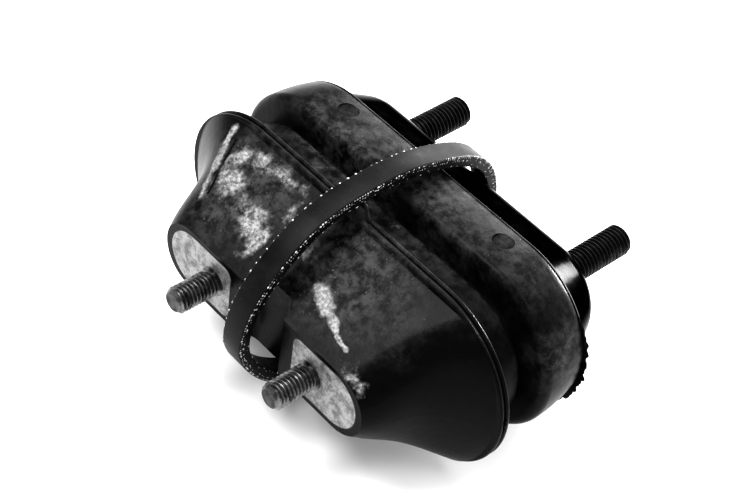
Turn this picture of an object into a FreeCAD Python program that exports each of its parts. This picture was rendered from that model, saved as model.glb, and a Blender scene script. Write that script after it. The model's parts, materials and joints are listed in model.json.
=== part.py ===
import FreeCAD, Part
import math
import os

# Bonded rubber engine mount with two studded feet, a studded steel cup and a restraint strap.
#
# X runs along the mount's long axis, Y along the studs from the feet to the cup, and Z is up.
# Every piece is modelled with the feet's faces at y = 0 and all four stud axes at z = 0.
# placed() then moves it so that the origin is at the bottom centre of the whole mount.

Vec = FreeCAD.Vector

# Front studs: M10 x 1.5, one pressed through each foot plate
FRONT_STUD_D = 10.0
FRONT_STUD_SPACING = 52.4
FRONT_STUD_REACH = 17.4         # from the foot's face to the stud's tip
FRONT_SHANK_D = 11.4            # the plain shank that is pressed into the plate
FRONT_HEAD_D = 16.0
FRONT_HEAD_THICKNESS = 4.0

# Rear studs: M12 x 1.75, both through the flat back of the cup
REAR_STUD_D = 12.0
REAR_STUD_SPACING = 85.8
REAR_STUD_REACH = 33.7          # from the cup's flat back to the stud's tip
REAR_SHANK_D = 13.6             # the plain shank that is pressed into the cup
REAR_HEAD_D = 17.0
REAR_HEAD_THICKNESS = 5.0

TIP_CHAMFER = 1.4               # on every stud's tip
RELIEF_LENGTH = 1.2             # undercut where every stud's thread ends
RELIEF_DEPTH = 0.9

# Feet: each is a rubber skirt round a D-shaped steel plate
FOOT_HALF_LENGTH = 52.6         # from the middle to the skirt's outer end
FOOT_HALF_HEIGHT = 13.5
FOOT_GAP_HALF = 11.0            # half the gap between the two feet
FOOT_GAP_DEPTH = 6.0
FOOT_GAP_CORNER = 4.6
PLATE_THICKNESS = 6.0
PLATE_SKIRT = 1.5               # rubber above and below the plate
PLATE_OUTER_SKIRT = 2.6         # rubber beyond the plate's round end
PLATE_INNER_SKIRT = 5.5         # rubber between the gap and the plate's square end
PLATE_CORNER = 4.0

# Rubber body: the flare, then a stadium-shaped rim, neck and collar
BODY_CENTRE_X = 45.8            # centres of the stadium's round ends
FLARE_DEPTH = 34.2
RIM_RADIUS = 36.7
RIM_STEP = 2.7                  # how far the rim stands above the end of the flare
LIP_WIDTH = 1.7                 # each of the rim's two lips
LIP_GROOVE_WIDTH = 0.8
LIP_GROOVE_DEPTH = 1.1
NECK_RADIUS = 26.6
NECK_ROOT = 2.0                 # fillet between the rim and the neck
NECK_EDGE_Y = 53.0
NECK_EDGE_ROUND = 1.3
RECESS_RADIUS = 21.0            # floor of the groove between the neck and the collar
COLLAR_FRONT_Y = 56.4
COLLAR_RADIUS = 35.0
COLLAR_SHOULDER = 3.6           # round on the collar's front edge
COLLAR_CROWN_Y = 75.0           # where the collar's crown ends and its back edge turns in
COLLAR_CROWN_DROP = 1.7
COLLAR_BACK_Y = 79.1
COLLAR_BACK_DROP = 3.9
COLLAR_BACK_BULGE = 0.4         # how far the back edge stands out from a straight slope

# The flare's form between the feet (0) and the rim (1):
# share of the depth, share of the spread of its ends, share of the spread of its flat ramps
FLARE_FORM = [
    (0.00, 0.00, 0.00),
    (0.18, 0.13, 0.15),
    (0.38, 0.23, 0.30),
    (0.56, 0.33, 0.46),
    (0.74, 0.52, 0.68),
    (0.88, 0.77, 0.86),
    (1.00, 1.00, 1.00),
]
FOOT_FLAT_X = 39.1              # where the flat ramps turn into the round ends, at the feet
RIM_FLAT_X = 54.0               # and at the rim
END_FULLNESS = 0.76             # weight of the ends' curves: 0.71 is an ellipse, more is squarer

# Mould marks on top of the collar
MARK_D = 8.0
MARK_SPACING = 80.0
MARK_Y = 69.6
MARK_DEPTH = 0.5

# Interleaf plate, whose edge lies at the bottom of the groove between the rim's lips
INTERLEAF_THICKNESS = 2.0
INTERLEAF_HOLE_D = 14.0         # the rubber flows through these holes
INTERLEAF_HOLE_SPACING = 34.0
INTERLEAF_HOLE_COUNT = 3

# Rear cup: a pressed steel shell that the rubber fills
CUP_WALL = 3.0
CUP_CENTRE_X = 44.3             # centres of the cup's round ends
CUP_MOUTH_RADIUS = 29.4         # where the wall comes out of the collar
CUP_TAPER = math.radians(27.5)
CUP_CORNER = 15.0
CUP_BURIED = 5.0                # how far the wall runs on inside the collar
REAR_FACE_Y = 101.6

# Restraint strap: an endless flat loop round the middle of the mount
STRAP_WIDTH = 9.1
STRAP_THICKNESS = 4.6
STRAP_SEAT_GAP = 0.3            # between the strap and what it rests on
STRAP_FRONT_GAP = 8.0           # between the feet's faces and the strap
STRAP_REAR_GAP = 0.8            # between the cup's back and the strap
STRAP_COLLAR_GAP = 0.6          # between the collar's underside and the strap
STRAP_OVER_COLLAR = 5.0         # between the collar's top and the strap
SADDLE_RISE = 4.5               # the rim's top under the strap
SADDLE_HALF_TOP = 5.4
SADDLE_FLANK = 3.0
SADDLE_ROUND = 1.0
SEAT_DEPTH = 1.4                # the notch in the rim's underside
SEAT_SIDE_GAP = 0.6

# The strap's route as shares: (along from front to rear, up from the stud axes to the top)
STRAP_UPPER_ROUTE = [
    (0.000, 0.000),
    (0.044, 0.413),
    (0.149, 0.726),
    (0.275, 0.930),
    (0.414, 1.000),
    (0.620, 0.983),
    (0.765, 0.878),
    (0.914, 0.650),
    (0.993, 0.240),
]
# and (along from rear to front, down from the stud axes to the underside)
STRAP_LOWER_ROUTE = [
    (0.998, 0.240),
    (0.951, 0.620),
    (0.810, 0.920),
    (0.650, 1.000),
    (0.520, 1.000),
    (0.390, 1.000),
    (0.285, 0.945),
    (0.190, 0.800),
    (0.115, 0.629),
    (0.064, 0.453),
    (0.021, 0.241),
]
STRAP_INSIDE_POINTS = 36        # how many places the inside face is worked out at

TOLERANCE = 0.01                # for picking out edges by their place

# Sizes that follow from the ones above
rim_width = 2 * LIP_WIDTH + LIP_GROOVE_WIDTH
rim_mid_y = FLARE_DEPTH + rim_width / 2
rim_back_y = FLARE_DEPTH + rim_width
flare_end_radius = RIM_RADIUS - RIM_STEP
interleaf_radius = RIM_RADIUS - LIP_GROOVE_DEPTH
cup_inside_y = REAR_FACE_Y - CUP_WALL
saddle_top = RIM_RADIUS + SADDLE_RISE
seat_floor = RIM_RADIUS - SEAT_DEPTH
strap_top = max(saddle_top + STRAP_SEAT_GAP, COLLAR_RADIUS + STRAP_OVER_COLLAR) + STRAP_THICKNESS
strap_bottom = max(seat_floor + STRAP_SEAT_GAP, COLLAR_RADIUS + STRAP_COLLAR_GAP) + STRAP_THICKNESS
strap_front_y = -STRAP_FRONT_GAP - STRAP_THICKNESS
strap_rear_y = REAR_FACE_Y + STRAP_REAR_GAP + STRAP_THICKNESS
front_tip_y = -FRONT_STUD_REACH
rear_tip_y = REAR_FACE_Y + REAR_STUD_REACH


def placed(shape, whole):
    """Return the shape moved so that the whole mount stands on z = 0, centred on the origin."""
    box = whole.optimalBoundingBox(True, False)
    moved = shape.copy()
    moved.translate(Vec(0, -box.Center.y, -box.ZMin))
    return moved


def mirrored_x(shape):
    """Return the shape mirrored from one side of the mount to the other."""
    return shape.mirror(Vec(0, 0, 0), Vec(1, 0, 0))


def joined(shapes):
    """Return the shapes fused into one, without seams between faces that continue each other."""
    return shapes[0].multiFuse(shapes[1:]).removeSplitter()


class Outline:
    """A closed outline in the YZ plane, given as points (y, r) with r measured up from z = 0."""

    def __init__(self, y, r):
        self.start = Vec(0, y, r)
        self.here = self.start
        self.edges = []

    def line(self, y, r):
        """Run straight on to (y, r)."""
        there = Vec(0, y, r)
        self.edges.append(Part.LineSegment(self.here, there).toShape())
        self.here = there
        return self

    def arc(self, through_y, through_r, y, r):
        """Run on to (y, r) in an arc through a point on the way."""
        there = Vec(0, y, r)
        self.edges.append(Part.Arc(self.here, Vec(0, through_y, through_r), there).toShape())
        self.here = there
        return self

    def corner(self, centre_y, centre_r, radius, start_degrees, end_degrees):
        """Run on round a centre; 0 degrees points along +Y and 90 degrees outwards."""
        middle = math.radians((start_degrees + end_degrees) / 2)
        end = math.radians(end_degrees)
        return self.arc(
            centre_y + radius * math.cos(middle), centre_r + radius * math.sin(middle),
            centre_y + radius * math.cos(end), centre_r + radius * math.sin(end))

    def face(self):
        """Close the outline and return it as a face."""
        self.line(self.start.y, self.start.z)
        return Part.Face(Part.Wire(self.edges))


def stadium_solid(face, centre_x):
    """Sweep a half section round a stadium whose round ends are centred at +/- centre_x."""
    upper = face.translated(Vec(-centre_x, 0, 0)).extrude(Vec(2 * centre_x, 0, 0))
    lower = upper.mirror(Vec(0, 0, 0), Vec(0, 0, 1))
    axis_point = Vec(centre_x, 0, 0)
    right_end = face.translated(axis_point).revolve(axis_point, Vec(0, 1, 0), 180)
    return joined([upper, lower, right_end, mirrored_x(right_end)])


def stadium_disc(radius, centre_x, start_y, thickness):
    """Return a flat stadium-shaped plate."""
    outline = Outline(start_y, 0)
    outline.line(start_y, radius).line(start_y + thickness, radius).line(start_y + thickness, 0)
    return stadium_solid(outline.face(), centre_x)


def quarter_end(y, flat_x, end_x, half):
    """Return a quarter of a round end, from the flat ramp at z = half to the tip at z = 0."""
    curve = Part.BezierCurve()
    curve.setPoles([Vec(flat_x, y, half), Vec(end_x, y, half), Vec(end_x, y, 0)])
    curve.setWeight(2, END_FULLNESS)
    return curve.toShape()


def flare_section(depth_share, end_share, flat_share):
    """Return the flare's outline at one depth: two flat runs joined by full round ends."""
    y = depth_share * FLARE_DEPTH
    half = FOOT_HALF_HEIGHT + depth_share * (flare_end_radius - FOOT_HALF_HEIGHT)
    rim_end_x = BODY_CENTRE_X + flare_end_radius
    end_x = FOOT_HALF_LENGTH + end_share * (rim_end_x - FOOT_HALF_LENGTH)
    flat_x = FOOT_FLAT_X + flat_share * (RIM_FLAT_X - FOOT_FLAT_X)
    edges = [Part.LineSegment(Vec(-flat_x, y, side * half), Vec(flat_x, y, side * half)).toShape()
             for side in (1, -1)]
    edges += [quarter_end(y, side * flat_x, side * end_x, end * half) for side in (1, -1) for end in (1, -1)]
    return Part.Wire(Part.sortEdges(edges)[0])


def foot_gap():
    """Return the cutter for the shallow gap between the feet, with rounded inner corners."""
    above = -FOOT_GAP_DEPTH     # starts well outside the feet's faces
    bend_x = FOOT_GAP_HALF - FOOT_GAP_CORNER
    bend_y = FOOT_GAP_DEPTH - FOOT_GAP_CORNER
    slant = FOOT_GAP_CORNER * math.sqrt(0.5)
    corners = [
        Part.LineSegment(Vec(FOOT_GAP_HALF, above, 0), Vec(FOOT_GAP_HALF, bend_y, 0)),
        Part.Arc(Vec(FOOT_GAP_HALF, bend_y, 0), Vec(bend_x + slant, bend_y + slant, 0),
                 Vec(bend_x, FOOT_GAP_DEPTH, 0)),
        Part.LineSegment(Vec(bend_x, FOOT_GAP_DEPTH, 0), Vec(-bend_x, FOOT_GAP_DEPTH, 0)),
        Part.Arc(Vec(-bend_x, FOOT_GAP_DEPTH, 0), Vec(-bend_x - slant, bend_y + slant, 0),
                 Vec(-FOOT_GAP_HALF, bend_y, 0)),
        Part.LineSegment(Vec(-FOOT_GAP_HALF, bend_y, 0), Vec(-FOOT_GAP_HALF, above, 0)),
        Part.LineSegment(Vec(-FOOT_GAP_HALF, above, 0), Vec(FOOT_GAP_HALF, above, 0)),
    ]
    face = Part.Face(Part.Wire([curve.toShape() for curve in corners]))
    face.translate(Vec(0, 0, -RIM_RADIUS))
    return face.extrude(Vec(0, 0, 2 * RIM_RADIUS))


def rim_neck_collar():
    """Return the stadium-shaped part of the rubber: two lips, neck, groove and collar."""
    lip_base = flare_end_radius
    lip_side = RIM_RADIUS - LIP_WIDTH / 2
    groove_floor = interleaf_radius
    groove_start = FLARE_DEPTH + LIP_WIDTH
    groove_end = groove_start + LIP_GROOVE_WIDTH
    recess_radius = (COLLAR_FRONT_Y - NECK_EDGE_Y) / 2
    recess_mid_y = NECK_EDGE_Y + recess_radius
    collar_side = COLLAR_RADIUS - COLLAR_SHOULDER
    shoulder_y = COLLAR_FRONT_Y + COLLAR_SHOULDER
    crown_mid_y = (shoulder_y + COLLAR_CROWN_Y) / 2
    crown_end = COLLAR_RADIUS - COLLAR_CROWN_DROP
    outline = Outline(FLARE_DEPTH, 0)
    outline.line(FLARE_DEPTH, lip_base)
    outline.line(FLARE_DEPTH, lip_side)
    outline.corner(FLARE_DEPTH + LIP_WIDTH / 2, lip_side, LIP_WIDTH / 2, 180, 0)
    outline.line(groove_start, groove_floor)
    outline.line(groove_end, groove_floor)
    outline.line(groove_end, lip_side)
    outline.corner(groove_end + LIP_WIDTH / 2, lip_side, LIP_WIDTH / 2, 180, 0)
    outline.line(rim_back_y, NECK_RADIUS + NECK_ROOT)
    outline.corner(rim_back_y + NECK_ROOT, NECK_RADIUS + NECK_ROOT, NECK_ROOT, 180, 270)
    outline.line(NECK_EDGE_Y - NECK_EDGE_ROUND, NECK_RADIUS)
    outline.corner(NECK_EDGE_Y - NECK_EDGE_ROUND, NECK_RADIUS - NECK_EDGE_ROUND,
                   NECK_EDGE_ROUND, 90, 0)
    outline.line(NECK_EDGE_Y, RECESS_RADIUS + recess_radius)
    outline.corner(recess_mid_y, RECESS_RADIUS + recess_radius, recess_radius, 180, 360)
    outline.line(COLLAR_FRONT_Y, collar_side)
    outline.corner(shoulder_y, collar_side, COLLAR_SHOULDER, 180, 90)
    outline.arc(crown_mid_y, COLLAR_RADIUS - COLLAR_CROWN_DROP / 4, COLLAR_CROWN_Y, crown_end)
    outline.arc((COLLAR_CROWN_Y + COLLAR_BACK_Y) / 2,
                COLLAR_RADIUS - (COLLAR_CROWN_DROP + COLLAR_BACK_DROP) / 2 + COLLAR_BACK_BULGE,
                COLLAR_BACK_Y, COLLAR_RADIUS - COLLAR_BACK_DROP)
    outline.line(COLLAR_BACK_Y, 0)
    return stadium_solid(outline.face(), BODY_CENTRE_X)


def cup_radius(y, inset):
    """Return how far the cup's tapered wall stands out at depth y, inset from its outside."""
    outside = CUP_MOUTH_RADIUS - (y - COLLAR_BACK_Y) * math.tan(CUP_TAPER)
    return outside - inset / math.cos(CUP_TAPER)


def cup_line(inset):
    """Return the cup's section line: wall start, wall end, middle of the corner, corner end."""
    centre_y = REAR_FACE_Y - CUP_CORNER
    radius = CUP_CORNER - inset
    lean = math.pi / 2 - CUP_TAPER
    centre_r = cup_radius(centre_y + CUP_CORNER * math.cos(lean), 0) - CUP_CORNER * math.sin(lean)
    start_y = COLLAR_BACK_Y - CUP_BURIED
    return [
        (start_y, cup_radius(start_y, inset)),
        (centre_y + radius * math.cos(lean), centre_r + radius * math.sin(lean)),
        (centre_y + radius * math.cos(lean / 2), centre_r + radius * math.sin(lean / 2)),
        (centre_y + radius, centre_r),
    ]


def cup_body(inset):
    """Return the solid that fills the cup's form up to a given inset from its outside."""
    start, wall_end, corner_middle, corner_end = cup_line(inset)
    outline = Outline(start[0], 0)
    outline.line(*start)
    outline.line(*wall_end)
    outline.arc(*corner_middle, *corner_end)
    outline.line(corner_end[0], 0)
    return stadium_solid(outline.face(), CUP_CENTRE_X)


def saddle():
    """Return the raised part of the rim on which the strap rests."""
    base = RIM_RADIUS - RIM_STEP
    half_base = SADDLE_HALF_TOP + SADDLE_FLANK
    profile = Part.makePolygon([
        Vec(-half_base, FLARE_DEPTH, base),
        Vec(half_base, FLARE_DEPTH, base),
        Vec(half_base, FLARE_DEPTH, RIM_RADIUS - LIP_WIDTH),
        Vec(SADDLE_HALF_TOP, FLARE_DEPTH, saddle_top),
        Vec(-SADDLE_HALF_TOP, FLARE_DEPTH, saddle_top),
        Vec(-half_base, FLARE_DEPTH, RIM_RADIUS - LIP_WIDTH),
        Vec(-half_base, FLARE_DEPTH, base),
    ])
    pad = Part.Face(profile).extrude(Vec(0, rim_width, 0))
    top_edges = [edge for edge in pad.Edges if edge.BoundBox.ZMax > saddle_top - TOLERANCE]
    pad = pad.makeFillet(SADDLE_ROUND, top_edges)
    groove = Part.makeBox(
        2 * half_base, LIP_GROOVE_WIDTH, saddle_top,
        Vec(-half_base, rim_mid_y - LIP_GROOVE_WIDTH / 2, saddle_top - LIP_GROOVE_DEPTH))
    return pad.cut(groove)


def strap_seat():
    """Return the cutter for the notch in the rim's underside."""
    half = STRAP_WIDTH / 2 + SEAT_SIDE_GAP
    return Part.makeBox(2 * half, rim_width, RIM_RADIUS, Vec(-half, FLARE_DEPTH, -seat_floor - RIM_RADIUS))


def mould_marks():
    """Return the cutters for the round marks that the mould left on the collar."""
    top = COLLAR_RADIUS - COLLAR_CROWN_DROP / 2
    places = [Vec(side * MARK_SPACING / 2, MARK_Y, top - MARK_DEPTH) for side in (-1, 1)]
    return [Part.makeCylinder(MARK_D / 2, COLLAR_RADIUS, place) for place in places]


def foot_plate():
    """Return the right foot's D-shaped plate: square inner end, round outer end."""
    half = FOOT_HALF_HEIGHT - PLATE_SKIRT
    inner_x = FOOT_GAP_HALF + PLATE_INNER_SKIRT
    round_x = FOOT_HALF_LENGTH - PLATE_OUTER_SKIRT - half
    outline = [
        Part.LineSegment(Vec(inner_x, 0, -half), Vec(round_x, 0, -half)),
        Part.Arc(Vec(round_x, 0, -half), Vec(round_x + half, 0, 0), Vec(round_x, 0, half)),
        Part.LineSegment(Vec(round_x, 0, half), Vec(inner_x, 0, half)),
        Part.LineSegment(Vec(inner_x, 0, half), Vec(inner_x, 0, -half)),
    ]
    blank = Part.Face(Part.Wire([curve.toShape() for curve in outline]))
    plate = blank.extrude(Vec(0, PLATE_THICKNESS, 0))
    inner_edges = [edge for edge in plate.Edges if edge.BoundBox.XMax < inner_x + TOLERANCE]
    inner_corners = [edge for edge in inner_edges if edge.BoundBox.YLength > PLATE_THICKNESS / 2]
    plate = plate.makeFillet(PLATE_CORNER, inner_corners)
    hole = Part.makeCylinder(
        FRONT_SHANK_D / 2, PLATE_THICKNESS, Vec(FRONT_STUD_SPACING / 2, 0, 0), Vec(0, 1, 0))
    return plate.cut(hole)


def stud(x, tip_y, face_y, seat_y, diameter, shank_d, head_d, head_thickness):
    """Return a headed stud along Y.

    Its head bears on the plane y = seat_y, its plain shank fills the wall up to y = face_y, and
    its thread runs from an undercut at that face to the tip.
    """
    wall = abs(face_y - seat_y)
    length = abs(tip_y - seat_y)
    radius = diameter / 2
    relief_radius = radius - RELIEF_DEPTH
    half_section = Part.makePolygon([
        Vec(0, -head_thickness, 0),
        Vec(head_d / 2, -head_thickness, 0),
        Vec(head_d / 2, 0, 0),
        Vec(shank_d / 2, 0, 0),
        Vec(shank_d / 2, wall, 0),
        Vec(relief_radius, wall, 0),
        Vec(relief_radius, wall + RELIEF_LENGTH, 0),
        Vec(radius, wall + RELIEF_LENGTH, 0),
        Vec(radius, length - TIP_CHAMFER, 0),
        Vec(radius - TIP_CHAMFER, length, 0),
        Vec(0, length, 0),
        Vec(0, -head_thickness, 0),
    ])
    body = Part.Face(half_section).revolve(Vec(0, 0, 0), Vec(0, 1, 0), 360)
    if tip_y < seat_y:
        body.rotate(Vec(0, 0, 0), Vec(0, 0, 1), 180)
    body.translate(Vec(x, seat_y, 0))
    return body


def front_stud(side):
    """Return the stud of the left (-1) or right (1) foot."""
    return stud(side * FRONT_STUD_SPACING / 2, front_tip_y, 0, PLATE_THICKNESS,
                FRONT_STUD_D, FRONT_SHANK_D, FRONT_HEAD_D, FRONT_HEAD_THICKNESS)


def rear_stud(side):
    """Return the cup's left (-1) or right (1) stud."""
    return stud(side * REAR_STUD_SPACING / 2, rear_tip_y, REAR_FACE_Y, cup_inside_y,
                REAR_STUD_D, REAR_SHANK_D, REAR_HEAD_D, REAR_HEAD_THICKNESS)


def interleaf_plate():
    """Return the plate inside the rim, with its row of flow holes."""
    start_y = rim_mid_y - INTERLEAF_THICKNESS / 2
    plate = stadium_disc(interleaf_radius, BODY_CENTRE_X, start_y, INTERLEAF_THICKNESS)
    first_x = -INTERLEAF_HOLE_SPACING * (INTERLEAF_HOLE_COUNT - 1) / 2
    holes = [
        Part.makeCylinder(INTERLEAF_HOLE_D / 2, INTERLEAF_THICKNESS,
                          Vec(first_x + index * INTERLEAF_HOLE_SPACING, start_y, 0), Vec(0, 1, 0))
        for index in range(INTERLEAF_HOLE_COUNT)
    ]
    return plate.cut(holes + [strap_seat()])


def rear_cup():
    """Return the pressed cup with its two stud holes."""
    shell = cup_body(0).cut(cup_body(CUP_WALL))
    holes = [
        Part.makeCylinder(REAR_SHANK_D / 2, CUP_WALL,
                          Vec(side * REAR_STUD_SPACING / 2, cup_inside_y, 0), Vec(0, 1, 0))
        for side in (-1, 1)
    ]
    return shell.cut(holes)


def rubber_body(inserts):
    """Return the one rubber moulding, with a pocket for each piece bonded into it."""
    flare = Part.makeLoft([flare_section(*station) for station in FLARE_FORM], True, False)
    filling = cup_body(CUP_WALL / 2)
    whole = joined([flare, rim_neck_collar(), filling, saddle()])
    return whole.cut([foot_gap(), strap_seat()] + mould_marks() + inserts)


def strap_points():
    """Return the points that the strap's outside passes through, in order round the loop."""
    length = strap_rear_y - strap_front_y
    upper = [Vec(0, strap_front_y + along * length, up * strap_top)
             for along, up in STRAP_UPPER_ROUTE]
    lower = [Vec(0, strap_front_y + along * length, -down * strap_bottom)
             for along, down in STRAP_LOWER_ROUTE]
    rear = Vec(0, strap_rear_y, 0)
    return upper + [rear] + lower


def closed_spline(points):
    """Return a smooth closed wire through the points."""
    curve = Part.BSplineCurve()
    curve.interpolate(Points=points, PeriodicFlag=True)
    return curve


def restraint_strap():
    """Return the strap: a smooth loop of even thickness, cut from its side view."""
    outside = closed_spline(strap_points())
    first = outside.FirstParameter
    last = outside.LastParameter
    inside_points = []
    for index in range(STRAP_INSIDE_POINTS):
        parameter = first + (last - first) * index / STRAP_INSIDE_POINTS
        along = outside.tangent(parameter)[0]
        inwards = Vec(0, along.z, -along.y)
        inside_points.append(outside.value(parameter) + inwards * STRAP_THICKNESS)
    inside = closed_spline(inside_points)
    outer_face = Part.Face(Part.Wire(outside.toShape()))
    inner_face = Part.Face(Part.Wire(inside.toShape()))
    loops = [face.extrude(Vec(STRAP_WIDTH, 0, 0)) for face in (outer_face, inner_face)]
    strap = loops[0].cut(loops[1])
    strap.translate(Vec(-STRAP_WIDTH / 2, 0, 0))
    return strap


def main():
    """Build every piece and write it to its own file."""
    right_plate = foot_plate()
    inserts = {
        "left_foot_plate": mirrored_x(right_plate),
        "right_foot_plate": right_plate,
        "left_front_stud": front_stud(-1),
        "right_front_stud": front_stud(1),
        "interleaf_plate": interleaf_plate(),
        "rear_cup": rear_cup(),
        "left_rear_stud": rear_stud(-1),
        "right_rear_stud": rear_stud(1),
    }
    pieces = dict(inserts)
    pieces["rubber_body"] = rubber_body(list(inserts.values()))
    pieces["restraint_strap"] = restraint_strap()
    whole = Part.makeCompound(list(pieces.values()))
    os.makedirs("parts", exist_ok=True)
    for name, shape in pieces.items():
        piece = placed(shape, whole)
        print(name, "solids", len(piece.Solids), "valid", piece.isValid(), "mm3", round(piece.Volume, 1))
        piece.exportStep("parts/" + name + ".step")


main()
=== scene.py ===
"""Studio view of a bonded rubber engine mount with a restraint strap.

The frame gives every solid at its real size. This script gives the solids their finishes,
cuts the threads on the studs, puts the cord ends on the strap and the flash on the rubber,
and sets up the camera, the lights and the floor. Lengths are in metres unless a name says
otherwise, and places on the mount are given from its own datum, in millimetres.
"""

import json
import logging
import math
import random
from dataclasses import dataclass, field
from enum import Enum
from typing import Iterable, Sequence

import bmesh
import bpy
from mathutils import Matrix, Vector, noise


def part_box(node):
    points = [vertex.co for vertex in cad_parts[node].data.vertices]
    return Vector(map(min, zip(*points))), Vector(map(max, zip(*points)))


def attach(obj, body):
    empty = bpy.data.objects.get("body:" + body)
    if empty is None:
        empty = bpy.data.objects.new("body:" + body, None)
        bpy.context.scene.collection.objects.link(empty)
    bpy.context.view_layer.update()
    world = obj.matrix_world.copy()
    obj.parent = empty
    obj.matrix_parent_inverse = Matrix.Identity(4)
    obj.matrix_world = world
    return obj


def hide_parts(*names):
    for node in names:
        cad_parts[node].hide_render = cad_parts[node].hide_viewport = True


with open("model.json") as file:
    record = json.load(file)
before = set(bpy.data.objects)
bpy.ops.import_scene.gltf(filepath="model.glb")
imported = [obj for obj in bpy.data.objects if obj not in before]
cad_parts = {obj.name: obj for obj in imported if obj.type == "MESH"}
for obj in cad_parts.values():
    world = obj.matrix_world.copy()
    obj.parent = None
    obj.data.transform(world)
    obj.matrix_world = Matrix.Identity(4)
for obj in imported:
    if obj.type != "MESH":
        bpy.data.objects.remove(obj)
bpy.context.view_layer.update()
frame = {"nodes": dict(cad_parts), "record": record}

LOG = logging.getLogger("engine_mount")
MM = 0.001
BODY = "root"
SHARP_ANGLE = math.radians(38.0)
SAME_PLACE = 0.001 * MM
WELD = 1e-7
CORD_SEED = 7


class Side(Enum):
    """The two halves of the mount, by the sign of X."""

    LEFT = -1
    RIGHT = 1

    @property
    def word(self) -> str:
        """The name used for this side's nodes and mounts."""
        return self.name.lower()


class Slot(str, Enum):
    """The record's material slots."""

    RUBBER = "moulded_rubber"
    STRAP = "strap_rubber"
    BARE_STEEL = "bare_steel"
    STUD_STEEL = "stud_steel"
    CUP_PAINT = "cup_paint"
    PLATE_PAINT = "plate_paint"


# ---------------------------------------------------------------- places in the frame


@dataclass(frozen=True)
class Box:
    """The lowest and highest corners of a node."""

    low: Vector
    high: Vector

    @classmethod
    def of(cls, node: str) -> "Box":
        """Return the box of a node at rest."""
        low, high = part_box(node)
        return cls(Vector(low), Vector(high))

    @property
    def centre(self) -> Vector:
        """The middle of the box."""
        return (self.low + self.high) / 2

    @property
    def size(self) -> Vector:
        """The lengths of the box's sides."""
        return self.high - self.low


class Datum:
    """The mount's own datum: the feet's faces at y = 0 and the stud axes at z = 0."""

    def __init__(self) -> None:
        """Read the datum from the right foot's plate."""
        plate = Box.of("right_foot_plate")
        self.origin = Vector((0.0, plate.low.y, plate.centre.z))

    def at(self, x: float, y: float, z: float) -> Vector:
        """Return the frame's point for a place given in millimetres from the datum."""
        return self.origin + Vector((x, y, z)) * MM


DATUM = Datum()


def mount_size(name: str, key: str) -> float:
    """Look up one size of a mount of the record.

    Args:
        name: The mount's name.
        key: The size's key among the mount's dims, which ends in _mm.

    Returns:
        The size, in metres.

    Raises:
        KeyError: The record has no mount of that name.
    """
    for mount in frame["record"]["mounts"]:
        if mount["name"] == name:
            return mount["dims"][key] * MM
    raise KeyError(name)


# ---------------------------------------------------------------- shader building


class Wire:
    """A shader value that can be added, subtracted and multiplied."""

    def __init__(self, graph: "Graph", socket: bpy.types.NodeSocket) -> None:
        """Wrap an output socket of a graph's node."""
        self.graph = graph
        self.socket = socket

    def __add__(self, other: "Number") -> "Wire":
        """Return the sum of the two values."""
        return self.graph.math("ADD", self, other)

    __radd__ = __add__

    def __sub__(self, other: "Number") -> "Wire":
        """Return this value less the other."""
        return self.graph.math("SUBTRACT", self, other)

    def __rsub__(self, other: "Number") -> "Wire":
        """Return the other value less this one."""
        return self.graph.math("SUBTRACT", other, self)

    def __mul__(self, other: "Number") -> "Wire":
        """Return the product of the two values."""
        return self.graph.math("MULTIPLY", self, other)

    __rmul__ = __mul__

    def __truediv__(self, other: "Number") -> "Wire":
        """Return this value divided by the other."""
        return self.graph.math("DIVIDE", self, other)

    def __rtruediv__(self, other: "Number") -> "Wire":
        """Return the other value divided by this one."""
        return self.graph.math("DIVIDE", other, self)

    def __or__(self, other: "Number") -> "Wire":
        """Return the larger of the two values."""
        return self.graph.math("MAXIMUM", self, other)

    __ror__ = __or__


Number = float | Wire
Colour = tuple[float, float, float]


def grey(level: float) -> Colour:
    """Return a neutral colour."""
    return (level, level, level)


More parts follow.
